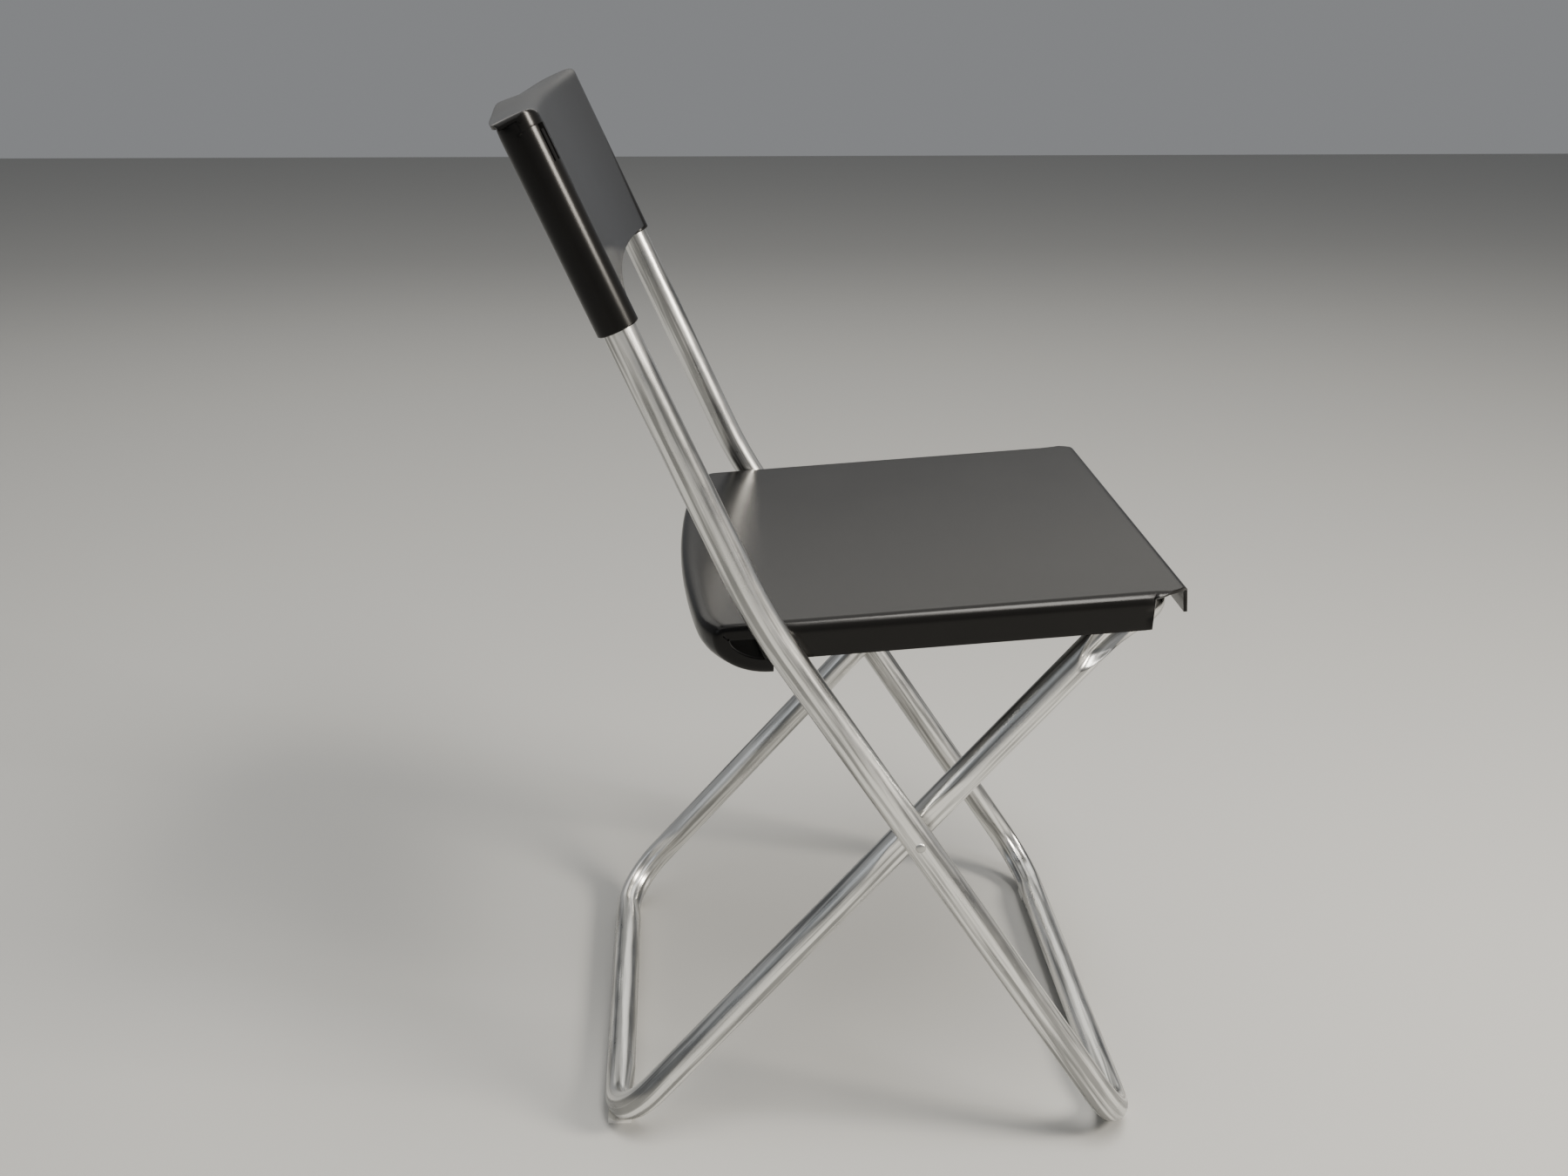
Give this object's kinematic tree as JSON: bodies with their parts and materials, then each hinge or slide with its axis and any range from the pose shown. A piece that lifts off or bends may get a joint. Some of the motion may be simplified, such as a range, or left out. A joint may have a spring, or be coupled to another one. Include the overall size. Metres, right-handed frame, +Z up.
{
  "type": "folding chair",
  "caption": "Folding chair with crossing galvanised tube frames, a thin black tilting seat and a curved black backrest on the uprights.",
  "frame": {"origin": "bottom centre of the open chair's bounding box, on the floor between the four glides", "axes": "+X towards the sitter's left, -Y the way the sitter faces, +Z up"},
  "size_m": [0.4438, 0.4654, 0.7445],
  "materials": {
    "galvanised_tube": "galvanised, satin with lengthwise streaks",
    "rivet_steel": "zinc plated",
    "black_shell": "satin black",
    "grey_plastic": "matte"
  },
  "bodies": {
    "inner_frame": {"inner_frame_tube": "galvanised_tube", "rear_glide_left": "grey_plastic", "rear_glide_right": "grey_plastic"},
    "outer_frame": {"outer_frame_tube": "galvanised_tube", "seat_hinge_rod": "rivet_steel", "backrest_shell": "black_shell", "front_glide_left": "grey_plastic", "front_glide_right": "grey_plastic", "pivot_rivet_left": "rivet_steel", "pivot_rivet_right": "rivet_steel", "pivot_spacer_left": "grey_plastic", "pivot_spacer_right": "grey_plastic", "rivet_washer_left": "rivet_steel", "rivet_washer_right": "rivet_steel"},
    "seat": {"seat_shell": "black_shell", "hinge_bush_left": "grey_plastic", "hinge_bush_right": "grey_plastic", "seat_buffer_left": "grey_plastic", "seat_buffer_right": "grey_plastic"}
  },
  "joints": [
    {"name": "frame_fold", "type": "hinge", "parent": "inner_frame", "child": "outer_frame", "pos_m": [0, -0.052, 0.2525], "axis": [1, 0, 0], "range_deg": [0, 65]},
    {"name": "seat_fold", "type": "hinge", "parent": "outer_frame", "child": "seat", "pos_m": [0, 0.0415, 0.394], "axis": [-1, 0, 0], "range_deg": [0, 97.5]}
  ],
  "couplings": [
    {"joint": "seat_fold", "follows": "frame_fold", "ratio": 1.5}
  ]
}
